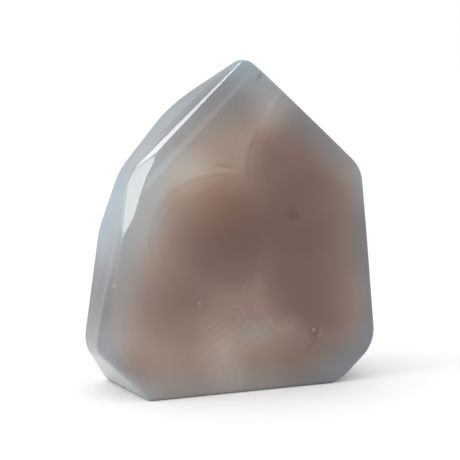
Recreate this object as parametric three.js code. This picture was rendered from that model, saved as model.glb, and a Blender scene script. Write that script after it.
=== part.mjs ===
// A polished agate freeform: one solid stone that stands on a flat foot.
// Millimetres, +Z up. The broad front face looks along -Y and leans back a little.
//
// The stone is made the way a cutter makes it. Flat cuts are taken off round one core point,
// each given by the way it faces and how far it stands from that point. The polish then rounds
// every edge by the same small radius, and the large corners by radii of their own.
import * as THREE from "three";
import { ConvexGeometry } from "three/addons/geometries/ConvexGeometry.js";

// Driving dimensions
const CORE_HEIGHT = 40; // height of the core point over the foot
const EDGE_RADIUS = 1.2; // rounding of every edge
const ARC_STEP = THREE.MathUtils.degToRad(9); // largest turn between two points of a rounded edge
const POINT_GAP = THREE.MathUtils.degToRad(5.5); // smallest turn between two points of a rounded corner
const CORNER_DETAIL = 6; // fineness of the sphere that gives the corners their points
const TOUCH = 1e-5; // how near two sizes count as the same

// Azimuth 0 faces the front, 90 the right side, 180 the back. Elevation is over the horizon.
// Distance is from the core point, in mm.
const CUTS = {
  foot: { azimuth: 0, elevation: -90, distance: CORE_HEIGHT },

  front: { azimuth: 0, elevation: 5, distance: 10.5 },
  frontUpperLeft: { azimuth: -18, elevation: 22.7, distance: 22 },
  frontLeftTop: { azimuth: -33, elevation: 28, distance: 27.2 },
  frontLeft: { azimuth: -40, elevation: 20, distance: 27.9 },
  frontLeftLow: { azimuth: -36, elevation: 5, distance: 26.3 },
  ridge: { azimuth: -50.8, elevation: 41.3, distance: 32.7 },

  leftUpper: { azimuth: -90, elevation: 48.5, distance: 34.8 },
  left: { azimuth: -92, elevation: 12.5, distance: 32.7 },
  leftLow: { azimuth: -86, elevation: -41, distance: 46.9 },
  rightUpper: { azimuth: 90, elevation: 46.5, distance: 41 },
  right: { azimuth: 90, elevation: 3.4, distance: 40.2 },
  rightLow: { azimuth: 90, elevation: -51.5, distance: 49.9 },

  back: { azimuth: 180, elevation: 5.5, distance: 14.5 },
  backTop: { azimuth: 169, elevation: 36.4, distance: 29.7 },
  backUpperLeft: { azimuth: -135, elevation: 23, distance: 28.6 },
  backLeft: { azimuth: -135, elevation: 2, distance: 29.6 },
  backUpperRight: { azimuth: 140, elevation: 30, distance: 33 },
  backRight: { azimuth: 130, elevation: 8, distance: 30 },
};

// Corners that are rounder than the other edges, each between two cuts.
const ROUND_CORNERS = [
  { between: ["leftUpper", "rightUpper"], radius: 3.6, strips: 2 },
  { between: ["rightUpper", "right"], radius: 7, strips: 3 },
  { between: ["right", "rightLow"], radius: 10, strips: 3 },
  { between: ["rightLow", "foot"], radius: 6.5, strips: 2 },
  { between: ["foot", "leftLow"], radius: 3, strips: 2 },
  { between: ["leftLow", "left"], radius: 8, strips: 2 },
  { between: ["front", "frontLeftLow"], radius: 12, strips: 2 },
];

// Unit vector that looks the way a cut faces.
function facing(azimuth, elevation) {
  const turn = THREE.MathUtils.degToRad(azimuth);
  const rise = THREE.MathUtils.degToRad(elevation);
  const level = Math.cos(rise);
  return new THREE.Vector3(Math.sin(turn) * level, -Math.cos(turn) * level, Math.sin(rise));
}

// The shares of two unit vectors that give the vector part of the way from one to the other.
function arcShares(from, to, part) {
  const angle = from.angleTo(to);
  const share = (turn) => Math.sin(turn * angle) / Math.sin(angle);
  return [share(1 - part), share(part)];
}

// Points of the arc between two unit vectors, without its ends.
function arcBetween(from, to) {
  const steps = Math.ceil(from.angleTo(to) / ARC_STEP);
  const arc = [];
  for (let step = 1; step < steps; step += 1) {
    const [a, b] = arcShares(from, to, step / steps);
    arc.push(from.clone().multiplyScalar(a).addScaledVector(to, b));
  }
  return arc;
}

// The planes of all cuts, as a normal and a distance from the core point.
function cutPlanes() {
  const planes = {};
  for (const [name, cut] of Object.entries(CUTS)) {
    planes[name] = { normal: facing(cut.azimuth, cut.elevation), distance: cut.distance };
  }
  return planes;
}

// Narrow strips that touch a cylinder set into the corner of two cuts.
function cornerStrips(planes, { between, radius, strips }) {
  const [from, to] = between.map((name) => planes[name]);
  const made = [];
  for (let strip = 1; strip <= strips; strip += 1) {
    const [a, b] = arcShares(from.normal, to.normal, strip / (strips + 1));
    const normal = from.normal.clone().multiplyScalar(a).addScaledVector(to.normal, b);
    const distance = a * (from.distance - radius) + b * (to.distance - radius) + radius;
    made.push({ normal, distance });
  }
  return made;
}

// The point where three planes meet, or null where two of them run side by side.
function meetingPoint(p, q, r) {
  const qr = q.normal.clone().cross(r.normal);
  const size = p.normal.dot(qr);
  if (Math.abs(size) < TOUCH) {
    return null;
  }
  return qr
    .multiplyScalar(p.distance)
    .addScaledVector(r.normal.clone().cross(p.normal), q.distance)
    .addScaledVector(p.normal.clone().cross(q.normal), r.distance)
    .divideScalar(size);
}

// The corners of the solid that the planes enclose, each with the planes that it lies on.
function solidCorners(planes) {
  const corners = [];
  const inside = (point) => planes.every((plane) => plane.normal.dot(point) < plane.distance + TOUCH);
  for (let i = 0; i < planes.length; i += 1) {
    for (let j = i + 1; j < planes.length; j += 1) {
      for (let k = j + 1; k < planes.length; k += 1) {
        const point = meetingPoint(planes[i], planes[j], planes[k]);
        if (point && inside(point)) {
          corners.push({ point, planes: [i, j, k] });
        }
      }
    }
  }
  return corners;
}

// Pairs of planes that share an edge, which are those that share two corners.
function neighbours(planes, corners) {
  const pairs = [];
  for (let i = 0; i < planes.length; i += 1) {
    for (let j = i + 1; j < planes.length; j += 1) {
      const shared = corners.filter((corner) => corner.planes.includes(i) && corner.planes.includes(j));
      if (shared.length > 1) {
        pairs.push([planes[i].normal, planes[j].normal]);
      }
    }
  }
  return pairs;
}

// The ways that the rounded stone's points face: square to each cut, round each edge between two
// cuts, and over what is left at the corners.
function surfaceDirections(planes, corners) {
  const directions = planes.map((plane) => plane.normal);
  for (const [from, to] of neighbours(planes, corners)) {
    directions.push(...arcBetween(from, to));
  }
  const sphere = new THREE.IcosahedronGeometry(1, CORNER_DETAIL).getAttribute("position");
  for (let i = 0; i < sphere.count; i += 1) {
    const way = new THREE.Vector3().fromBufferAttribute(sphere, i).normalize();
    if (directions.every((known) => known.angleTo(way) > POINT_GAP)) {
      directions.push(way);
    }
  }
  return directions;
}

// Surface of a ball rolled round inside the cuts: the cuts are moved in by the ball's radius, and
// in each direction the ball's outermost point is kept, over every corner it reaches there.
function roundedStone() {
  const cuts = cutPlanes();
  const strips = ROUND_CORNERS.flatMap((corner) => cornerStrips(cuts, corner));
  const planes = [...Object.values(cuts), ...strips].map(({ normal, distance }) => ({
    normal,
    distance: distance - EDGE_RADIUS,
  }));
  const corners = solidCorners(planes);
  const points = [];
  for (const way of surfaceDirections(planes, corners)) {
    const reach = Math.max(...corners.map(({ point }) => point.dot(way)));
    for (const { point } of corners) {
      if (point.dot(way) > reach - TOUCH) {
        points.push(point.clone().addScaledVector(way, EDGE_RADIUS));
      }
    }
  }
  return new ConvexGeometry(points);
}

// Puts the middle of the stone's box over the origin, with the foot at height 0.
function standOnOrigin(geometry) {
  geometry.computeBoundingBox();
  const { min, max } = geometry.boundingBox;
  return geometry.translate(-(min.x + max.x) / 2, -(min.y + max.y) / 2, -min.z);
}

function agateStone() {
  const polishedAgate = new THREE.MeshStandardMaterial({
    color: 0x8b7a73,
    roughness: 0.08,
    metalness: 0,
  });
  const stone = new THREE.Mesh(standOnOrigin(roundedStone()), polishedAgate);
  stone.name = "agate_stone";
  return stone;
}

const freeform = new THREE.Group();
freeform.add(agateStone());

export default freeform;
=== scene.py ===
"""A polished agate freeform on a pale floor: the stone, its agate, and the studio round it.

The stone is sawn, rounded and polished the way a cutter does it, round the solid model's core point
and with nearly its cuts: four bevels differ a little, and some corners are rounder, for the light
that they mirror. The agate is a pattern through the whole stone, worked out in millimetres, so every
face shows the growth that lies behind it. A few patches of its colour are painted light and shade:
a painted reflection of the floor low on the left, painted light along the foot, a painted sheen and
a painted shade by the upper left edges, and a painted glint and shade in the largest pit.
"""
import logging
import math
from dataclasses import dataclass
from enum import Enum
from typing import Any

import bpy
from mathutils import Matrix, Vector


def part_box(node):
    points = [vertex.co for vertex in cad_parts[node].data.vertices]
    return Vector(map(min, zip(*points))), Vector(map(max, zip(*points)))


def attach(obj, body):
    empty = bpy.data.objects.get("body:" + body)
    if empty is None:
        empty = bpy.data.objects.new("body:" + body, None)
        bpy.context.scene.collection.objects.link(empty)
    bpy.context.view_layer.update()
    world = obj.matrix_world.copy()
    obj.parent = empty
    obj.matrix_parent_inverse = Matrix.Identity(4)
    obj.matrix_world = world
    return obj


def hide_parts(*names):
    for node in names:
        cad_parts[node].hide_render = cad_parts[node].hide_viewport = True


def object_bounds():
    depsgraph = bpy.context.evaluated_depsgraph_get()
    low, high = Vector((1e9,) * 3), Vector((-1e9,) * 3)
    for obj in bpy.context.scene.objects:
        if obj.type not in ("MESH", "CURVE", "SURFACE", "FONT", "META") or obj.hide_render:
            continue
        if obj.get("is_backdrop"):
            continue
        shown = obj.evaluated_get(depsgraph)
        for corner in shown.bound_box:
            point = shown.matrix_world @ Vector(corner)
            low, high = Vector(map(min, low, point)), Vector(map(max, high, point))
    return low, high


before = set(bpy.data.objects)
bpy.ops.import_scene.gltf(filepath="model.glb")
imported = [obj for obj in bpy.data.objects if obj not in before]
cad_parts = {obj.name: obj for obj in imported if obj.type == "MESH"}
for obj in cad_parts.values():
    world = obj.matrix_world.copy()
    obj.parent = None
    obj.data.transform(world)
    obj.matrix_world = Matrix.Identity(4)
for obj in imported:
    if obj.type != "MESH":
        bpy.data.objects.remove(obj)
CAD_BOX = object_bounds()

MM = 0.001  # one millimetre in metres
STONE_NODE = "agate_stone"
ROOT_BODY = "root"

log = logging.getLogger("agate_freeform")


def compass(azimuth: float, elevation: float) -> Vector:
    """Gives the unit vector of a direction.

    Args:
        azimuth: Degrees round the stone. 0 is the front, 90 the right side, 180 the back.
        elevation: Degrees over the horizon.

    Returns:
        The direction as a unit vector in the row frame.
    """
    turn, rise = math.radians(azimuth), math.radians(elevation)
    return Vector((math.sin(turn) * math.cos(rise), -math.cos(turn) * math.cos(rise), math.sin(rise)))


def linear(hex_colour: str) -> tuple[float, float, float, float]:
    """Turns an sRGB hex colour into the linear colour that the shaders take.

    Args:
        hex_colour: The colour as #rrggbb.

    Returns:
        Linear red, green, blue and an alpha of 1.
    """
    shares = [int(hex_colour[start:start + 2], 16) / 255 for start in (1, 3, 5)]
    red, green, blue = [s / 12.92 if s <= 0.04045 else ((s + 0.055) / 1.055) ** 2.4 for s in shares]
    return red, green, blue, 1.0


def add_node(
    tree: bpy.types.NodeTree, kind: str, inputs: dict[Any, Any] | None = None, **settings: Any
) -> bpy.types.Node:
    """Adds one node with its settings and what goes into its sockets.

    Args:
        tree: The node tree of the material or the world.
        kind: Blender's name for the node type.
        inputs: Socket name or number to a value, or to the socket that feeds it.
        **settings: Properties of the node, such as operation.

    Returns:
        The new node.
    """
    node = tree.nodes.new(kind)
    for name, value in settings.items():
        setattr(node, name, value)
    for socket, value in (inputs or {}).items():
        if isinstance(value, bpy.types.NodeSocket):
            tree.links.new(value, node.inputs[socket])
        else:
            node.inputs[socket].default_value = value
    return node


class Facet(Enum):
    """The cuts of the stone, each named for where it lies."""

    FOOT = "foot"
    FRONT = "front"
    FRONT_UPPER_LEFT = "front upper left"
    FRONT_LEFT_TOP = "front left top"
    FRONT_LEFT = "front left"
    FRONT_LEFT_LOW = "front left low"
    RIDGE = "ridge"
    LEFT_UPPER = "left upper"
    LEFT = "left"
    LEFT_LOW = "left low"
    RIGHT_UPPER = "right upper"
    RIGHT = "right"
    RIGHT_LOW = "right low"
    BACK = "back"
    BACK_TOP = "back top"
    BACK_UPPER_LEFT = "back upper left"
    BACK_LEFT = "back left"
    BACK_UPPER_RIGHT = "back upper right"
    BACK_RIGHT = "back right"


@dataclass(frozen=True)
class Cut:
    """A flat cut: the way it faces, in degrees, and how far it stands from the core point, in mm."""

    azimuth: float
    elevation: float
    distance: float

    @property
    def normal(self) -> Vector:
        """The unit vector that the cut faces along."""
        return compass(self.azimuth, self.elevation)


@dataclass(frozen=True)
class RoundCorner:
    """A corner between two cuts that is rounder than the other edges. Its radius is in mm."""

    start: Facet
    end: Facet
    radius: float


# The core point of the cuts in the row frame, in mm.
CORE_HEIGHT = 40.0
CORE_PLACE = (-1.49, -2.18, CORE_HEIGHT)

CUTS = {
    Facet.FOOT: Cut(0, -90, CORE_HEIGHT),
    Facet.FRONT: Cut(0, 5, 10.5),
    Facet.FRONT_UPPER_LEFT: Cut(-18, 22.7, 22),
    Facet.FRONT_LEFT_TOP: Cut(-33, 27, 27.2),
    Facet.FRONT_LEFT: Cut(-42, 19.5, 28.3),
    Facet.FRONT_LEFT_LOW: Cut(-36, 5, 26.75),
    Facet.RIDGE: Cut(-49.8, 41.6, 32.76),
    Facet.LEFT_UPPER: Cut(-90, 48.5, 34.8),
    Facet.LEFT: Cut(-92, 12.5, 32.7),
    Facet.LEFT_LOW: Cut(-86, -41, 46.9),
    Facet.RIGHT_UPPER: Cut(90, 46.5, 41),
    Facet.RIGHT: Cut(90, 3.4, 40.2),
    Facet.RIGHT_LOW: Cut(90, -51.5, 49.9),
    Facet.BACK: Cut(180, 5.5, 14.5),
    Facet.BACK_TOP: Cut(169, 36.4, 29.7),
    Facet.BACK_UPPER_LEFT: Cut(-135, 23, 28.6),
    Facet.BACK_LEFT: Cut(-135, 2, 29.6),
    Facet.BACK_UPPER_RIGHT: Cut(140, 30, 33),
    Facet.BACK_RIGHT: Cut(130, 8, 30),
}

ROUND_CORNERS = (
    RoundCorner(Facet.LEFT_UPPER, Facet.RIGHT_UPPER, 3),
    RoundCorner(Facet.RIGHT_UPPER, Facet.RIGHT, 9),
    RoundCorner(Facet.RIGHT, Facet.RIGHT_LOW, 10),
    RoundCorner(Facet.RIGHT_LOW, Facet.FOOT, 9),
    RoundCorner(Facet.FOOT, Facet.LEFT_LOW, 3),
    RoundCorner(Facet.LEFT_LOW, Facet.LEFT, 8),
    RoundCorner(Facet.FRONT, Facet.FRONT_LEFT_LOW, 12),
    RoundCorner(Facet.FRONT, Facet.FRONT_UPPER_LEFT, 16),
    RoundCorner(Facet.FRONT_UPPER_LEFT, Facet.FRONT_LEFT_TOP, 8),
    RoundCorner(Facet.FRONT_LEFT_TOP, Facet.FRONT_LEFT, 30),
    RoundCorner(Facet.FRONT_LEFT, Facet.FRONT_LEFT_LOW, 28),
    RoundCorner(Facet.FRONT_LEFT, Facet.FRONT, 3),
    RoundCorner(Facet.FRONT_LEFT_LOW, Facet.LEFT_LOW, 10),
    RoundCorner(Facet.FRONT_LEFT_LOW, Facet.LEFT, 4),
    RoundCorner(Facet.RIDGE, Facet.FRONT_LEFT_TOP, 2.4),
    RoundCorner(Facet.RIDGE, Facet.FRONT_LEFT, 2.4),
    RoundCorner(Facet.LEFT_UPPER, Facet.LEFT, 12),
    RoundCorner(Facet.BACK_TOP, Facet.BACK_UPPER_LEFT, 15),
    RoundCorner(Facet.BACK_UPPER_LEFT, Facet.BACK_LEFT, 15),
)


@dataclass(frozen=True)
class Pit:
    """A small pit in the polish: the middle and the radius of the ball that fits it, in mm."""

    middle: tuple[float, float, float]
    radius: float


@dataclass
class AgateStone:
    """The stone itself, sawn round its core point and then rounded and polished.

    Sizes are in mm and turns in degrees. The mesh is worked in metres.
    """

    edge_radius: float = 1.2  # rounding of every edge
    strip_turn: float = 7.0  # largest turn between two cuts of a rounded corner
    saw_tolerance: float = 0.02  # points this near to a cut lie on it
    saw_weld: float = 0.01  # points this near to each other become one
    ball_detail: int = 4  # fineness of the ball that rounds the edges
    flat_turn: float = 0.05  # faces that turn less than this become one
    pit_detail: int = 3  # fineness of the balls that sink the pits
    grid_pitch: float = 4.0  # widest gap between two points of a face
    grid_weld: float = 0.005
    crown: float = 0.022  # share of the way from flat faces to a ball
    foot_free: float = 1.0  # height up to which the stone stays as sawn
    crown_from: float = 9.0  # height from which it has its whole crown
    polish_wave: float = 26.0  # length of the soft waves
    polish_depth: float = 0.07  # how far they stand out or in
    pits: tuple[Pit, ...] = (
        Pit((21.4, -16.1, 15.2), 1.4),
        Pit((-12.7, -14.5, 25.3), 0.4),
        Pit((6.7, -14.1, 28.4), 0.35),
    )

    def build(self) -> bpy.types.Object:
        """Makes the finished stone.

        Returns:
            The stone's object, at the origin, with its place in its mesh.
        """
        stone = self._saw()
        self._round_edges(stone)
        self._stand_in_frame(stone)
        self._pit(stone)
        self._grid(stone)
        self._polish(stone)
        return stone

    def dress(self, stone: bpy.types.Object, finish: "PolishedAgate") -> None:
        """Gives the stone its finish and its body, and hides the solid model's part that it stands for.

        Args:
            stone: The finished stone.
            finish: What it is made of.
        """
        stone.data.materials.clear()
        stone.data.materials.append(finish.material())
        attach(stone, ROOT_BODY)
        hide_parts(STONE_NODE)

    def _planes(self) -> list[tuple[Vector, float]]:
        """Gives every cut and corner strip, moved in by the edge radius.

        Returns:
            A normal and a distance from the core point, in mm, for each plane.
        """
        planes = [(cut.normal, cut.distance - self.edge_radius) for cut in CUTS.values()]
        for corner in ROUND_CORNERS:
            start, end = CUTS[corner.start], CUTS[corner.end]
            turn = start.normal.angle(end.normal)
            inner = corner.radius - self.edge_radius
            strips = math.ceil(math.degrees(turn) / self.strip_turn)
            for step in range(1, strips):
                a = math.sin((1 - step / strips) * turn) / math.sin(turn)
                b = math.sin(step / strips * turn) / math.sin(turn)
                reach = a * (start.distance - corner.radius) + b * (end.distance - corner.radius)
                planes.append((start.normal * a + end.normal * b, reach + inner))
        return planes

    def _saw(self) -> bpy.types.Object:
        """Saws the block by every cut, a little inside its final size.

        Returns:
            The sawn block, with the core point at the origin.
        """
        low, high = CAD_BOX
        bpy.ops.object.select_all(action="DESELECT")
        bpy.ops.mesh.primitive_cube_add(size=2 * max(high - low))
        stone = bpy.context.object
        stone.name = "agate_freeform"
        stone.data.name = "agate_freeform"
        bpy.ops.object.mode_set(mode="EDIT")
        for normal, distance in self._planes():
            bpy.ops.mesh.select_all(action="SELECT")
            bpy.ops.mesh.bisect(
                plane_co=normal * distance * MM,
                plane_no=normal,
                use_fill=True,
                clear_outer=True,
                threshold=self.saw_tolerance * MM,
            )
        bpy.ops.mesh.select_all(action="SELECT")
        bpy.ops.mesh.remove_doubles(threshold=self.saw_weld * MM)
        bpy.ops.object.mode_set(mode="OBJECT")
        return stone

    def _round_edges(self, stone: bpy.types.Object) -> None:
        """Rolls a ball round inside the cuts: a ball at every corner, and the skin over them all.

        Args:
            stone: The sawn block, which becomes the rounded stone.
        """
        corners = [vertex.co.copy() for vertex in stone.data.vertices]
        bpy.ops.object.mode_set(mode="EDIT")
        bpy.ops.mesh.select_all(action="SELECT")
        bpy.ops.mesh.delete(type="VERT")
        for corner in corners:
            bpy.ops.mesh.primitive_ico_sphere_add(
                subdivisions=self.ball_detail, radius=self.edge_radius * MM, location=corner
            )
        bpy.ops.mesh.select_all(action="SELECT")
        bpy.ops.mesh.convex_hull()
        bpy.ops.mesh.select_all(action="SELECT")
        bpy.ops.mesh.dissolve_limited(angle_limit=math.radians(self.flat_turn))
        bpy.ops.object.mode_set(mode="OBJECT")

    def _stand_in_frame(self, stone: bpy.types.Object) -> None:
        """Moves the stone so that its box has the middle and the foot of the solid model's box.

        Args:
            stone: The rounded stone, round its core point.
        """
        places = [vertex.co for vertex in stone.data.vertices]
        low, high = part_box(STONE_NODE)
        shift = [
            (low[axis] + high[axis] - min(p[axis] for p in places) - max(p[axis] for p in places)) / 2
            for axis in (0, 1)
        ]
        shift.append(low.z - min(p.z for p in places))
        bpy.ops.object.mode_set(mode="EDIT")
        bpy.ops.mesh.select_all(action="SELECT")
        bpy.ops.transform.translate(value=shift)
        bpy.ops.object.mode_set(mode="OBJECT")

    def _pit(self, stone: bpy.types.Object) -> None:
        """Sinks the few small pits of the front face.

        Args:
            stone: The rounded stone in its place.
        """
        bpy.ops.object.select_all(action="DESELECT")
        balls = []
        for pit in self.pits:
            bpy.ops.mesh.primitive_ico_sphere_add(
                subdivisions=self.pit_detail, radius=pit.radius * MM, location=Vector(pit.middle) * MM
            )
            balls.append(bpy.context.object)
        for ball in balls:
            bpy.context.view_layer.objects.active = stone
            cut = stone.modifiers.new("pit", "BOOLEAN")
            cut.operation = "DIFFERENCE"
            cut.solver = "EXACT"
            cut.object = ball
            bpy.ops.object.modifier_apply(modifier="pit")
            bpy.data.objects.remove(ball)
        stone.select_set(True)

    def _grid(self, stone: bpy.types.Object) -> None:
        """Divides the faces by level planes, so that the polish has points to work on.

        Args:
            stone: The rounded stone in its place.
        """
        low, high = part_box(STONE_NODE)
        bpy.ops.object.mode_set(mode="EDIT")
        for axis in range(3):
            steps = math.ceil((high[axis] - low[axis]) / (self.grid_pitch * MM))
            for step in range(1, steps):
                place, facing = low.copy(), Vector((0, 0, 0))
                place[axis] += (high[axis] - low[axis]) * step / steps
                facing[axis] = 1
                bpy.ops.mesh.select_all(action="SELECT")
                bpy.ops.mesh.bisect(plane_co=place, plane_no=facing)
        bpy.ops.mesh.select_all(action="SELECT")
        bpy.ops.mesh.remove_doubles(threshold=self.grid_weld * MM)
        bpy.ops.object.mode_set(mode="OBJECT")

    def _over_the_foot(self, stone: bpy.types.Object) -> bpy.types.VertexGroup:
        """Marks how much each point is polished: nothing at the foot, and smoothly more over it.

        Args:
            stone: The gridded stone.

        Returns:
            The vertex group with each point's share.
        """
        crowned = stone.vertex_groups.new(name="crowned")
        for vertex in stone.data.vertices:
            height = (vertex.co.z / MM - self.foot_free) / (self.crown_from - self.foot_free)
            share = min(max(height, 0), 1)
            crowned.add([vertex.index], share * share * (3 - 2 * share), "REPLACE")
        return crowned

    def _polish(self, stone: bpy.types.Object) -> None:
        """Crowns the faces and adds the long soft waves that hand polishing leaves.

        Args:
            stone: The gridded stone. Its foot stays flat.
        """
        crowned = self._over_the_foot(stone)
        low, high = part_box(STONE_NODE)
        middle = bpy.data.objects.new("crown_middle", None)
        bpy.context.scene.collection.objects.link(middle)
        middle.location = (low + high) / 2
        bpy.context.view_layer.objects.active = stone
        cast = stone.modifiers.new("crown", "CAST")
        cast.factor = self.crown
        cast.object = middle
        cast.vertex_group = crowned.name
        wave = bpy.data.textures.new("hand_polish", "CLOUDS")
        wave.noise_scale = self.polish_wave * MM
        wave.noise_depth = 1
        ripple = stone.modifiers.new("hand_polish", "DISPLACE")
        ripple.texture = wave
        ripple.texture_coords = "LOCAL"
        ripple.mid_level = 0.5
        ripple.strength = 2 * self.polish_depth * MM
        ripple.vertex_group = crowned.name
        for name in ("crown", "hand_polish"):
            bpy.ops.object.modifier_apply(modifier=name)
        bpy.data.objects.remove(middle)
        stone.vertex_groups.clear()
        bpy.ops.object.shade_smooth()
        weigh = stone.modifiers.new("even_faces", "WEIGHTED_NORMAL")
        weigh.keep_sharp = False
        bpy.ops.object.modifier_apply(modifier="even_faces")


@dataclass(frozen=True)
class GrowthLobe:
    """An egg of agate that grew outwards from its middle. Sizes in mm, the turn in degrees about Y."""

    middle: tuple[float, float, float]
    radii: tuple[float, float, float]
    turn: float = 0.0

    @property
    def reach(self) -> float:
        """The smaller of the radii that the front shows."""
        return min(self.radii[0], self.radii[2])

    def distance(self, tree: bpy.types.NodeTree, place: bpy.types.NodeSocket) -> bpy.types.NodeSocket:
        """Measures how far a place is from the lobe's outside.

        Args:
            tree: The material's node tree.
            place: Places in mm.

        Returns:
            Millimetres, below zero inside the lobe.
        """
        eased = add_node(
            tree,
            "ShaderNodeMapping",
            {
                "Vector": place,
                "Location": self.middle,
                "Rotation": (0, -math.radians(self.turn), 0),
                "Scale": self.radii,
            },
            vector_type="TEXTURE",
        ).outputs[0]
        length = add_node(tree, "ShaderNodeVectorMath", {0: eased}, operation="LENGTH").outputs["Value"]
        beyond = add_node(tree, "ShaderNodeMath", {0: length, 1: 1.0}, operation="SUBTRACT").outputs[0]
        return add_node(tree, "ShaderNodeMath", {0: beyond, 1: self.reach}, operation="MULTIPLY").outputs[0]


@dataclass(frozen=True)
class Fade:
    """A share that runs softly from low to high while a distance runs from start to end, in mm."""

    start: float
    end: float
    low: float = 0.0
    high: float = 1.0

    def over(self, tree: bpy.types.NodeTree, distance: bpy.types.NodeSocket) -> bpy.types.NodeSocket:
        """Gives the share for a distance.

        Args:
            tree: The material's node tree.
            distance: Millimetres.

        Returns:
            The share.
        """
        ends = {"From Min": self.start, "From Max": self.end, "To Min": self.low, "To Max": self.high}
        return add_node(
            tree, "ShaderNodeMapRange", {"Value": distance, **ends}, interpolation_type="SMOOTHSTEP"
        ).outputs[0]


@dataclass(frozen=True)
class BandSet:
    """Fine growth bands beside a lobe's outside: places in mm from it, and how milky each one is.

    A colour ramp holds nothing below zero, so a place with no band is a middle grey on it.
    """

    bands: tuple[tuple[float, float], ...]
    span: float = 9.0
    grey: float = 0.5

    def over(self, tree: bpy.types.NodeTree, distance: bpy.types.NodeSocket) -> bpy.types.NodeSocket:
        """Gives the milkiness of the bands.

        Args:
            tree: The material's node tree.
            distance: Millimetres from the lobe's outside.

        Returns:
            A share from -0.5, smokier, to 0.5, milkier.
        """
        across = add_node(
            tree, "ShaderNodeMapRange", {"Value": distance, "From Min": -self.span, "From Max": self.span}
        ).outputs[0]
        ramp = add_node(tree, "ShaderNodeValToRGB", {0: across})
        stops = ramp.color_ramp.elements
        ramp.color_ramp.interpolation = "EASE"
        for stop in stops:
            stop.color = (self.grey, self.grey, self.grey, 1)
        for place, milk in self.bands:
            shade = self.grey + milk
            stops.new((place + self.span) / (2 * self.span)).color = (shade, shade, shade, 1)
        return add_node(
            tree, "ShaderNodeMath", {0: ramp.outputs[0], 1: self.grey}, operation="SUBTRACT"
        ).outputs[0]


@dataclass(frozen=True)
class Core:
    """A smoky core of the agate: its lobe, how far its edge fades, in mm, and its milk in the middle."""

    lobe: GrowthLobe
    start: float
    end: float
    low: float

    def over(
        self, tree: bpy.types.NodeTree, place: bpy.types.NodeSocket, high: bpy.types.NodeSocket
    ) -> bpy.types.NodeSocket:
        """Gives the milk that this core leaves.

        Args:
            tree: The material's node tree.
            place: Places in mm.
            high: The milk round the core.

        Returns:
            The share of milk.
        """
        ends = {"From Min": self.start, "From Max": self.end, "To Min": self.low, "To Max": high}
        distance = self.lobe.distance(tree, place)
        return add_node(
            tree, "ShaderNodeMapRange", {"Value": distance, **ends}, interpolation_type="SMOOTHSTEP"
        ).outputs[0]


@dataclass(frozen=True)
class Cloud:
    """A soft cloud in the agate: the lobe that it fills, and how milky it is. Smoky below zero.

    Its edge is how far it fades out beyond the lobe, as a share of the lobe's reach. Some clouds are
    not agate: they paint light and shade on the skin.
    """

    lobe: GrowthLobe
    milk: float
    edge: float = 0.6

    def over(self, tree: bpy.types.NodeTree, place: bpy.types.NodeSocket) -> bpy.types.NodeSocket:
        """Gives the milk that the cloud adds at places in mm, all of it in the middle."""
        fade = Fade(self.edge * self.lobe.reach, -self.lobe.reach, 0.0, self.milk)
        return fade.over(tree, self.lobe.distance(tree, place))


@dataclass(frozen=True)
class Rim:
    """The thin stone under one of the cuts, and how much of it shows, by the depth under the cut."""

    facet: Facet
    fade: Fade

    def over(self, tree: bpy.types.NodeTree, place: bpy.types.NodeSocket) -> bpy.types.NodeSocket:
        """Gives the rim's share.

        Args:
            tree: The material's node tree.
            place: Places in mm.

        Returns:
            The share.
        """
        cut = CUTS[self.facet]
        from_core = add_node(
            tree, "ShaderNodeVectorMath", {0: place, 1: CORE_PLACE}, operation="SUBTRACT"
        ).outputs[0]
        out = add_node(
            tree, "ShaderNodeVectorMath", {0: from_core, 1: cut.normal}, operation="DOT_PRODUCT"
        ).outputs["Value"]
        depth = add_node(tree, "ShaderNodeMath", {0: cut.distance, 1: out}, operation="SUBTRACT").outputs[0]
        return self.fade.over(tree, depth)


@dataclass(frozen=True)
class Growth:
    """Lobes that grew together, the fine bands along their common outside, and where those show.

    The blend is how far, in mm, two lobes run into one another.
    """

    lobes: tuple[GrowthLobe, ...]
    bands: BandSet
    shown: Cloud
    blend: float = 1.5

    def over(self, tree: bpy.types.NodeTree, place: bpy.types.NodeSocket) -> bpy.types.NodeSocket:
        """Gives the milk that the bands add or take.

        Args:
            tree: The material's node tree.
            place: Places in mm.

        Returns:
            The milk, below zero in the smoky bands.
        """
        distances = [lobe.distance(tree, place) for lobe in self.lobes]
        nearest = distances[0]
        for distance in distances[1:]:
            nearest = add_node(
                tree, "ShaderNodeMath", {0: nearest, 1: distance, 2: self.blend}, operation="SMOOTH_MIN"
            ).outputs[0]
        bands = self.bands.over(tree, nearest)
        shown = self.shown.over(tree, place)
        return add_node(tree, "ShaderNodeMath", {0: bands, 1: shown}, operation="MULTIPLY").outputs[0]


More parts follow.
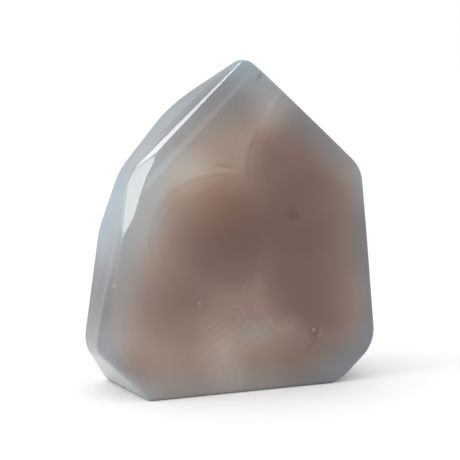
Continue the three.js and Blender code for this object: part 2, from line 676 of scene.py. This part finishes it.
@dataclass(frozen=True)
class PolishedAgate:
    """Grey-brown banded agate, a fibrous quartz, tumbled and polished to a mirror.

    The eye gets a wet gloss over a milky depth: smoky brown cores with soft edges, cream where the
    growth lobes part, fine pale lines along their outsides, and a blue-grey haze in the thin rims.
    Some patches of the colour are painted light and shade: a painted reflection of the floor low on
    the left, painted light along the foot, a painted sheen and a painted shade by the upper left edges,
    and a painted glint and shade in the largest pit.
    """

    warm: tuple[str, ...] = ("#5b443b", "#71594e", "#877165", "#9b897c", "#ada195")
    cool: tuple[str, ...] = ("#424a50", "#586066", "#6c777f", "#818e97", "#96a5ae")
    refraction: float = 1.54
    roughness: float = 0.06
    glow: float = 0.25
    glow_depth: float = 3.0
    glow_colours: tuple[float, float, float] = (1.0, 0.85, 0.75)
    sway_length: float = 16.0
    sway: float = 0.8
    cream: Fade = Fade(31, 53, 0.60, 0.77)  # milk round the cores, by height
    shoulder: Fade = Fade(68, 78, 0.0, -0.06)
    tip: Fade = Fade(78, 90, 0.0, 0.17)
    brown: Fade = Fade(68, 90, 1.0, 0.0)  # how free of haze the stone is, by height
    core_blend: float = 0.25
    patch_length: float = 7.0
    patchy: Fade = Fade(0.35, 0.65, 0.3, 1.5)  # strength of the fine bands from patch to patch
    cores: tuple[Core, ...] = (
        Core(GrowthLobe((-1, 0, 42.5), (34, 34, 20.5), 12), -13.5, 4.5, 0.09),
        Core(GrowthLobe((27, 0, 69), (33.5, 34, 16), 35), -6, 4, 0.22),
        Core(GrowthLobe((20, 0, 47.5), (24.5, 34, 21), 15), -10.5, 4, 0.10),
        Core(GrowthLobe((28.5, 0, 31.5), (30, 34, 24.5), -11), -8.5, 3.5, 0.11),
        Core(GrowthLobe((-21.5, 0, 27.5), (19, 34, 17), 9), -12, 3.5, 0.16),
        Core(GrowthLobe((33.5, 0, 3.5), (36.5, 34, 21), -2), -8.5, 2, 0.25),
        Core(GrowthLobe((-15, 0, 3.5), (20, 34, 18), -17), -7, 0, 0.64),
    )
    clouds_and_painted_light: tuple[Cloud, ...] = (
        # Cream where the lobes part, and milk low in the stone
        Cloud(GrowthLobe((-15.5, 0, 61.5), (9, 34, 5.6), 9), 0.30),
        Cloud(GrowthLobe((-28, 0, 48), (6, 34, 12), 3), 0.17),
        Cloud(GrowthLobe((-23.5, -11, 57), (3.5, 8, 6)), 0.15),
        Cloud(GrowthLobe((-8, 0, 49.5), (5, 34, 4)), 0.045),
        Cloud(GrowthLobe((-6.6, 0, 10), (6.4, 34, 10), 20), 0.26),
        Cloud(GrowthLobe((1, 0, 15), (8, 34, 5)), 0.16),
        Cloud(GrowthLobe((-14, 0, 21), (6, 34, 3)), 0.07),
        Cloud(GrowthLobe((-15.5, 0, 8), (9, 34, 7)), 0.06),
        Cloud(GrowthLobe((-6, 0, 12.5), (3, 34, 4)), 0.07),
        Cloud(GrowthLobe((4.6, 0, 16.4), (4.5, 34, 3)), 0.07),
        Cloud(GrowthLobe((13.5, 0, 17.5), (3.5, 34, 2.2), 25), 0.12),
        Cloud(GrowthLobe((25, 0, 6), (9, 34, 4), -15), 0.09),
        # Smoke in the middle
        Cloud(GrowthLobe((2.6, 0, 41.4), (9, 34, 9)), -0.05),
        Cloud(GrowthLobe((-28, 0, 24), (6, 34, 7)), -0.05),
        # The right side and the top
        Cloud(GrowthLobe((35, 0, 23.5), (5.6, 34, 8.3), -20), 0.11),
        Cloud(GrowthLobe((19, 0, 77), (6, 34, 4), -50), 0.12),
        Cloud(GrowthLobe((11, 0, 75), (5.2, 34, 9.7), 28), 0.19),
        Cloud(GrowthLobe((-3, 0, 80), (9.3, 34, 8.3), 17), -0.09),
        # Under the left cuts and the bevels, with a painted floor reflection, a painted sheen and a painted
        # shade among them
        Cloud(GrowthLobe((-38, 12, 26), (7, 20, 11.5)), -0.6),
        Cloud(GrowthLobe((-38, -5.5, 30), (3, 5, 13), -10), -0.25),
        Cloud(GrowthLobe((-34, -13, 7), (6, 6, 8), -35), -0.2),
        # Painted reflection of the white floor: the low left cut made much milkier toward the floor
        Cloud(GrowthLobe((-32, 2, 1), (9, 14, 8)), 1.2),
        # Painted shade: a dark line along the ridge's upper left edge, beside the ridge highlight
        Cloud(GrowthLobe((-10, -4.8, 79.5), (14, 3, 2.2), 41.5), -0.3),
        Cloud(GrowthLobe((-24.5, -5, 65), (6, 5, 5), 45), 0.05),
        # Painted sheen: a faint pale band along the edge between the front and the upper left bevel
        Cloud(GrowthLobe((-4.2, -9, 78.8), (11, 5, 1.7), 39), 0.03),
    )
    marks_and_pit_glint: tuple[Cloud, ...] = (
        # The round dark spot, and the short lines over the arc
        Cloud(GrowthLobe((15.8, -12, 48.2), (1.9, 3, 1.9)), -0.14),
        Cloud(GrowthLobe((-4.6, -11, 62.1), (2.8, 4, 0.7), -8), -0.14),
        Cloud(GrowthLobe((-3.6, -11, 60.9), (2.6, 4, 0.6), -12), 0.1),
        # A pale line and a dark mark near the point
        Cloud(GrowthLobe((10, -9, 77), (6, 6, 0.8), 57), 0.1),
        Cloud(GrowthLobe((7.3, -8.7, 85.9), (1.7, 4, 0.6), 50), -0.22),
        # Pale specks, and the pits with the scratches beside them, with painted light and shade at the
        # largest pit
        Cloud(GrowthLobe((-12.7, -14, 25.3), (0.5, 1.5, 0.35)), 0.35),
        Cloud(GrowthLobe((0.2, -14, 28.9), (0.6, 1.5, 0.4), 50), 0.14),
        Cloud(GrowthLobe((6.7, -14, 28.4), (0.5, 1.5, 0.35)), 0.16),
        Cloud(GrowthLobe((-36.3, -11.4, 31.7), (0.4, 1.5, 0.4)), 0.3),
        # Painted shade in the darker ring round the largest pit, and a painted glint in its bright speck and
        # pale crescent
        Cloud(GrowthLobe((21.4, -15, 15), (2, 2.4, 2.3), 20), -0.16),
        Cloud(GrowthLobe((21.2, -15, 15.6), (0.6, 2, 0.6)), 0.6),
        Cloud(GrowthLobe((23.1, -15, 14.4), (0.5, 2, 1.5), -15), 0.2),
        Cloud(GrowthLobe((20.2, -14.5, 11), (1.8, 2, 0.5), 50), -0.12),
    )
    tints: tuple[Cloud, ...] = (
        # Blue-grey haze
        Cloud(GrowthLobe((-36, 16, 52), (9, 22, 17)), 0.5),
        Cloud(GrowthLobe((-40, 14, 28), (7, 22, 14)), 0.2),
        Cloud(GrowthLobe((-25, 0, 51), (4.5, 34, 8)), 0.4),
        Cloud(GrowthLobe((3.4, 0, 16.6), (5, 34, 4)), 0.32),
        Cloud(GrowthLobe((17, 0, 70), (5, 34, 5)), 0.15),
        Cloud(GrowthLobe((34, 0, 36), (4.5, 34, 8)), 0.12),
        Cloud(GrowthLobe((25, 0, 10), (6, 34, 6)), 0.1),
        # Warmer places
        Cloud(GrowthLobe((-4, 0, 51), (13, 34, 10)), -0.25),
        Cloud(GrowthLobe((-37, -15, 28), (6, 7, 14)), -0.18),
        Cloud(GrowthLobe((-28, -10.5, 56), (5.5, 6, 9)), -0.32),
        Cloud(GrowthLobe((-24, -5.5, 66.5), (9, 5, 4), 45), -0.2),
        Cloud(GrowthLobe((-11, -10, 72.5), (14, 8, 4.5), 41), -0.22),
        Cloud(GrowthLobe((-4, -8, 81.5), (9, 6, 3.5), 41), -0.15),
        Cloud(GrowthLobe((5, 0, 82), (4, 34, 5)), -0.2),
        Cloud(GrowthLobe((8, 0, 83), (4, 34, 5)), -0.15),
        Cloud(GrowthLobe((15, 0, 79), (6, 34, 6), 35), -0.28),
        Cloud(GrowthLobe((34, 0, 60), (4, 34, 7)), -0.3),
        Cloud(GrowthLobe((-36.3, -11.4, 31.7), (0.6, 1.5, 0.6)), -0.25),
    )
    milky_rims_and_foot_light: tuple[Rim, ...] = (
        Rim(Facet.RIGHT, Fade(21, 0, 0, 0.33)),
        Rim(Facet.RIGHT_UPPER, Fade(11, 0, 0, 0.22)),
        Rim(Facet.LEFT, Fade(28, 0, 0, 0.55)),
        # Paler toward the foot: partly the stone's own paler bottom, partly painted light that evens out the
        # shade where it meets the floor
        Rim(Facet.FOOT, Fade(9, 0, 0, 0.18)),
    )
    hazy_rims_and_floor_reflection: tuple[Rim, ...] = (
        Rim(Facet.LEFT, Fade(12.5, -1, 0, 0.72)),
        Rim(Facet.LEFT_UPPER, Fade(12, 0, 0, 0.82)),
        # Blue-grey haze in the thin rim low on the left, cooled further as a painted reflection of the floor
        Rim(Facet.LEFT_LOW, Fade(6, 0, 0, 0.38)),
        Rim(Facet.RIGHT, Fade(6.5, 0.5, 0, 0.6)),
        Rim(Facet.RIGHT, Fade(13, 4, 0, 0.12)),
        Rim(Facet.RIGHT_UPPER, Fade(10, 0, 0, 0.62)),
        Rim(Facet.RIGHT_LOW, Fade(12, 2, 0, 0.72)),
        Rim(Facet.FOOT, Fade(11, -1, 0, 0.46)),
    )
    growths: tuple[Growth, ...] = (
        # The arc over the middle, and the front of the lobe right of it
        Growth(
            (GrowthLobe((-7, 0, 43), (22.5, 34, 18.3)), GrowthLobe((25.7, 0, 71), (30.4, 34, 16.1), 37)),
            BandSet((
                (-4.4, 0), (-3.6, -0.04), (-2.9, 0), (-2.1, -0.05), (-1.5, -0.02), (-0.8, -0.12),
                (-0.2, 0), (0.5, 0.06), (1.1, 0), (1.9, 0.02), (2.6, 0),
            )),
            Cloud(GrowthLobe((-8, 0, 70), (26, 34, 21), 25), 1.0),
        ),
        # The pale seam down from the middle
        Growth(
            (GrowthLobe((30, 0, 31), (28.5, 34, 23), 10),),
            BandSet(((-1.8, 0), (-0.2, 0.06), (1.4, 0))),
            Cloud(GrowthLobe((6, 0, 28), (9, 34, 13)), 1.0),
        ),
        # The banded patch low on the front, where four lobes meet
        Growth(
            (
                GrowthLobe((-7, 0, 45), (22.5, 34, 18.3)),
                GrowthLobe((30, 0, 31), (28.5, 34, 23), 10),
                GrowthLobe((-22, 0, 38), (21, 34, 19)),
                GrowthLobe((32, 0, 3), (41, 34, 17.5)),
            ),
            BandSet((
                (-0.4, 0), (0.2, 0.03), (0.9, -0.03), (1.5, 0.02), (2.2, -0.05), (2.9, -0.01), (3.5, -0.06),
                (4.2, 0.05), (4.9, -0.05), (5.6, 0.06), (6.3, -0.05), (7.1, 0.05), (8.1, 0),
            )),
            Cloud(GrowthLobe((1, 0, 17), (16, 34, 9)), 1.0),
        ),
        # The left end of the arc
        Growth(
            (GrowthLobe((-7, 0, 43), (20.8, 34, 16.2)),),
            BandSet(((-2.6, 0), (-1.9, -0.04), (-1.3, 0.01), (-0.6, 0), (0, -0.08), (0.6, 0.03), (1.2, 0))),
            Cloud(GrowthLobe((-25, 0, 47), (7, 34, 11)), 1.0),
        ),
        # The streaks down to the foot
        Growth(
            (GrowthLobe((-23, 0, 3), (18.5, 34, 12)),),
            BandSet(((-0.6, 0), (0, 0.06), (0.7, -0.03), (1.4, 0.08), (2.2, -0.02), (3.0, 0.06), (3.8, 0))),
            Cloud(GrowthLobe((-2, 0, 3), (6, 34, 9)), 1.0),
        ),
    )

    def material(self) -> bpy.types.Material:
        """Makes the stone's material.

        Returns:
            The finished material.
        """
        made = bpy.data.materials.new("polished_agate")
        made.use_nodes = True
        tree = made.node_tree
        tree.nodes.clear()
        shader = add_node(
            tree,
            "ShaderNodeBsdfPrincipled",
            {
                "Base Color": self._colour(tree),
                "IOR": self.refraction,
                "Roughness": self.roughness,
                "Subsurface Weight": self.glow,
                "Subsurface Radius": self.glow_colours,
                "Subsurface Scale": self.glow_depth * MM,
            },
        ).outputs[0]
        add_node(tree, "ShaderNodeOutputMaterial", {"Surface": shader})
        return made

    def _colour(self, tree: bpy.types.NodeTree) -> bpy.types.NodeSocket:
        """Works out the agate's colour at every place of the stone.

        Args:
            tree: The material's node tree.

        Returns:
            The colour socket.
        """
        where = add_node(tree, "ShaderNodeTexCoord").outputs["Object"]
        place = add_node(
            tree, "ShaderNodeVectorMath", {0: where, "Scale": 1 / MM}, operation="SCALE"
        ).outputs[0]
        swayed = self._swayed(tree, place)
        milk = self._milk(tree, swayed)
        lined = add_node(
            tree, "ShaderNodeMath", {0: milk, 1: self._banding(tree, swayed)}, operation="ADD"
        ).outputs[0]
        hazy = self._haze(tree, place)
        return add_node(
            tree,
            "ShaderNodeMix",
            {0: hazy, 6: self._ramp(tree, self.warm, lined), 7: self._ramp(tree, self.cool, lined)},
            data_type="RGBA",
            clamp_factor=False,
        ).outputs[2]

    def _ramp(
        self, tree: bpy.types.NodeTree, tones: tuple[str, ...], milk: bpy.types.NodeSocket
    ) -> bpy.types.NodeSocket:
        """Gives the colour for a share of milk, from the smokiest of the tones to the milkiest.

        Args:
            tree: The material's node tree.
            tones: Hex colours, evenly spaced.
            milk: The share of milk.

        Returns:
            The colour socket.
        """
        ramp = add_node(tree, "ShaderNodeValToRGB", {0: milk})
        stops = ramp.color_ramp.elements
        stops[0].color, stops[1].color = linear(tones[0]), linear(tones[-1])
        for number, tone in enumerate(tones[1:-1], 1):
            stops.new(number / (len(tones) - 1)).color = linear(tone)
        return ramp.outputs[0]

    def _swayed(self, tree: bpy.types.NodeTree, place: bpy.types.NodeSocket) -> bpy.types.NodeSocket:
        """Lets places sway a little, as the growth of the stone did.

        Args:
            tree: The material's node tree.
            place: Places in mm.

        Returns:
            The swayed places in mm.
        """
        noise = add_node(
            tree, "ShaderNodeTexNoise", {"Vector": place, "Scale": 1 / self.sway_length, "Detail": 1.0}
        ).outputs["Color"]
        centred = add_node(
            tree, "ShaderNodeVectorMath", {0: noise, 1: (0.5, 0.5, 0.5)}, operation="SUBTRACT"
        ).outputs[0]
        return add_node(
            tree,
            "ShaderNodeVectorMath",
            {0: centred, 1: (2 * self.sway, 2 * self.sway, 2 * self.sway), 2: place},
            operation="MULTIPLY_ADD",
        ).outputs[0]

    def _milk(self, tree: bpy.types.NodeTree, place: bpy.types.NodeSocket) -> bpy.types.NodeSocket:
        """Works out how milky the agate is: 0 in the smoky cores, 1 in the cream between the lobes.

        Args:
            tree: The material's node tree.
            place: Places in mm.

        Returns:
            The share of milk.
        """
        height = add_node(tree, "ShaderNodeSeparateXYZ", {0: place}).outputs["Z"]
        low, high = self.cream.over(tree, height), self.shoulder.over(tree, height)
        around = add_node(tree, "ShaderNodeMath", {0: low, 1: high}, operation="ADD").outputs[0]
        milk = around
        for core in self.cores:
            smoky = core.over(tree, place, around)
            milk = add_node(
                tree, "ShaderNodeMath", {0: milk, 1: smoky, 2: self.core_blend}, operation="SMOOTH_MIN"
            ).outputs[0]
        for rim in self.milky_rims_and_foot_light:
            share = rim.over(tree, place)
            clear = add_node(tree, "ShaderNodeMath", {0: 1.0, 1: milk}, operation="SUBTRACT").outputs[0]
            milk = add_node(
                tree, "ShaderNodeMath", {0: share, 1: clear, 2: milk}, operation="MULTIPLY_ADD"
            ).outputs[0]
        added = [cloud.over(tree, place) for cloud in self.clouds_and_painted_light + self.marks_and_pit_glint]
        added.append(self.tip.over(tree, height))
        for share in added:
            milk = add_node(tree, "ShaderNodeMath", {0: milk, 1: share}, operation="ADD").outputs[0]
        return milk

    def _banding(self, tree: bpy.types.NodeTree, place: bpy.types.NodeSocket) -> bpy.types.NodeSocket:
        """Works out the fine bands along the growth fronts.

        Args:
            tree: The material's node tree.
            place: Places in mm.

        Returns:
            The milk that the bands add or take.
        """
        uneven = add_node(
            tree, "ShaderNodeTexNoise", {"Vector": place, "Scale": 1 / self.patch_length, "Detail": 2.0}
        ).outputs[0]
        strength = self.patchy.over(tree, uneven)
        total = self.growths[0].over(tree, place)
        for growth in self.growths[1:]:
            total = add_node(
                tree, "ShaderNodeMath", {0: total, 1: growth.over(tree, place)}, operation="ADD"
            ).outputs[0]
        return add_node(tree, "ShaderNodeMath", {0: total, 1: strength}, operation="MULTIPLY").outputs[0]

    def _haze(self, tree: bpy.types.NodeTree, place: bpy.types.NodeSocket) -> bpy.types.NodeSocket:
        """Works out where the stone is thin enough for light to haze it blue-grey.

        Args:
            tree: The material's node tree.
            place: Places in mm.

        Returns:
            The share of haze, below zero where the stone is a little redder than its own brown.
        """
        height = add_node(tree, "ShaderNodeSeparateXYZ", {0: place}).outputs["Z"]
        clear = self.brown.over(tree, height)
        for rim in self.hazy_rims_and_floor_reflection:
            share = rim.over(tree, place)
            through = add_node(tree, "ShaderNodeMath", {0: 1.0, 1: share}, operation="SUBTRACT").outputs[0]
            clear = add_node(tree, "ShaderNodeMath", {0: clear, 1: through}, operation="MULTIPLY").outputs[0]
        hazy = add_node(tree, "ShaderNodeMath", {0: 1.0, 1: clear}, operation="SUBTRACT").outputs[0]
        for tint in self.tints:
            hazy = add_node(
                tree, "ShaderNodeMath", {0: hazy, 1: tint.over(tree, place)}, operation="ADD"
            ).outputs[0]
        return hazy


@dataclass(frozen=True)
class MattPaper:
    """Matt white studio paper. The eye gets a pale, even ground with soft shadows and no gloss."""

    colour: str = "#fafafa"
    roughness: float = 0.9

    def material(self) -> bpy.types.Material:
        """Makes the floor's material.

        Returns:
            The finished material.
        """
        made = bpy.data.materials.new("matt_white_paper")
        made.use_nodes = True
        tree = made.node_tree
        tree.nodes.clear()
        shader = add_node(
            tree,
            "ShaderNodeBsdfPrincipled",
            {"Base Color": linear(self.colour), "Roughness": self.roughness},
        ).outputs[0]
        add_node(tree, "ShaderNodeOutputMaterial", {"Surface": shader})
        return made


@dataclass(frozen=True)
class SoftBox:
    """A studio light: where it stands seen from the stone, in degrees, its size in mm and brightness.

    A card is only seen mirrored in the polish. The others only light the stone and the floor.
    """

    name: str
    azimuth: float
    elevation: float
    width: float
    height: float
    radiance: float
    card: bool = True
    distance: float = 900.0

    def build(self, aim: Vector) -> None:
        """Adds the light.

        Args:
            aim: The place it shines at, in metres.
        """
        back = compass(self.azimuth, self.elevation)
        bpy.ops.object.select_all(action="DESELECT")
        bpy.ops.object.light_add(type="AREA", location=aim + back * self.distance * MM)
        lamp = bpy.context.object
        lamp.name = self.name
        lamp.rotation_mode = "QUATERNION"
        lamp.rotation_quaternion = back.to_track_quat("Z", "Y")
        lamp.data.shape = "RECTANGLE"
        lamp.data.size = self.width * MM
        lamp.data.size_y = self.height * MM
        lamp.data.energy = self.radiance * math.pi * self.width * self.height * MM * MM
        lamp.visible_diffuse = not self.card
        lamp.visible_glossy = self.card


@dataclass(frozen=True)
class Studio:
    """The pale floor, the lights and the camera. Sizes in mm, turns in degrees."""

    camera_azimuth: float = -23.0
    camera_elevation: float = 9.5
    camera_distance: float = 600.0
    camera_aim: tuple[float, float, float] = (1.2, -2.2, 42.9)
    lens: float = 169.55
    sensor: float = 36.0
    nearest: float = 10.0
    floor_radius: float = 4000.0
    floor_sides: int = 128
    floor_finish: MattPaper = MattPaper()
    sky_colour: str = "#ffffff"
    sky_radiance: float = 1.04
    lights: tuple[SoftBox, ...] = (
        SoftBox("key_light", -95, 35, 600, 600, 2.0, card=False),
        SoftBox("bevel_card", -55.5, 33, 450, 530, 7.0),
        SoftBox("ridge_card", -110, 59, 210, 320, 9.3),
        SoftBox("edge_card", -112, 18, 1300, 360, 2.6),
        SoftBox("side_strip", -85, 12, 100, 300, 4.0),
        SoftBox("front_strip", 3, 20, 130, 200, 1.0),
    )

    def build(self) -> None:
        """Builds the studio round the stone."""
        self._floor()
        self._sky()
        aim = Vector(self.camera_aim) * MM
        for light in self.lights:
            light.build(aim)
        self._camera(aim)
        bpy.context.scene.view_settings.view_transform = "Standard"

    def _floor(self) -> None:
        """Lays the round floor of matt white paper."""
        bpy.ops.object.select_all(action="DESELECT")
        bpy.ops.mesh.primitive_circle_add(
            vertices=self.floor_sides, radius=self.floor_radius * MM, fill_type="NGON"
        )
        floor = bpy.context.object
        floor.name = "paper_floor"
        floor.data.materials.append(self.floor_finish.material())
        floor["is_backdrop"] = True

    def _sky(self) -> None:
        """Lights the studio evenly from all round."""
        world = bpy.data.worlds.new("even_studio")
        bpy.context.scene.world = world
        world.use_nodes = True
        background = world.node_tree.nodes["Background"]
        background.inputs["Color"].default_value = linear(self.sky_colour)
        background.inputs["Strength"].default_value = self.sky_radiance

    def _camera(self, aim: Vector) -> None:
        """Sets the camera at the photograph's viewing angle.

        Args:
            aim: The place in the middle of the picture, in metres.
        """
        back = compass(self.camera_azimuth, self.camera_elevation)
        bpy.ops.object.camera_add(location=aim + back * self.camera_distance * MM)
        camera = bpy.context.object
        camera.name = "photo_camera"
        camera.rotation_mode = "QUATERNION"
        camera.rotation_quaternion = back.to_track_quat("Z", "Y")
        camera.data.lens = self.lens
        camera.data.sensor_width = self.sensor
        camera.data.clip_start = self.nearest * MM
        bpy.context.scene.camera = camera


def main() -> None:
    """Builds the stone and the studio, and reports each piece."""
    logging.basicConfig(level=logging.INFO, format="%(name)s: %(message)s")
    maker = AgateStone()
    stone = maker.build()
    maker.dress(stone, PolishedAgate())
    log.info("%s: %d faces", stone.name, len(stone.data.polygons))
    studio = Studio()
    studio.build()
    log.info("studio: floor, camera and %d lights", len(studio.lights))
    sizes = {"cad": CAD_BOX, "visual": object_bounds()}
    {name: [list(corner) for corner in box] for name, box in sizes.items()}


if __name__ == "__main__":
    main()
